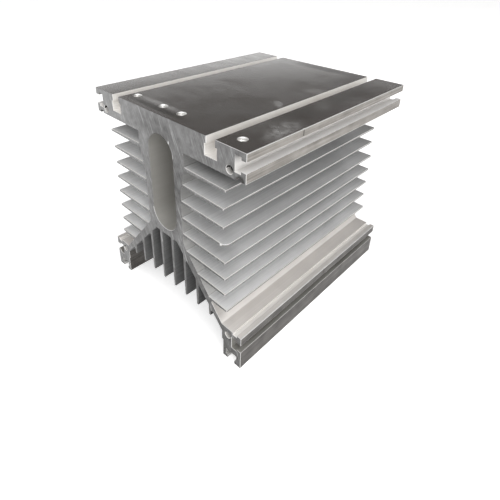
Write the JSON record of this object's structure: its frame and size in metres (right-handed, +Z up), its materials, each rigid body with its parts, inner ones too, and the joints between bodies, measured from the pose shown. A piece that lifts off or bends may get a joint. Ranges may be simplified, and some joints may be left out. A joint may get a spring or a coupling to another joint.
{
  "type": "extruded heat sink",
  "caption": "Extruded aluminium heat sink with a slotted flat top, a round-ended duct, side fins, splayed legs with inner fins, and slotted feet.",
  "frame": {"origin": "on the plane that the feet stand on, under the middle of the length and of the width", "axes": "+X to the right across the section seen from the drilled end, +Y along the extrusion away from the drilled end, +Z up to the milled face"},
  "size_m": [0.125, 0.147, 0.135],
  "materials": {
    "aluminium": "mill-finish extrusion with sawn ends and a milled bright top"
  },
  "bodies": {
    "root": {"heat_sink": "aluminium"}
  },
  "joints": []
}
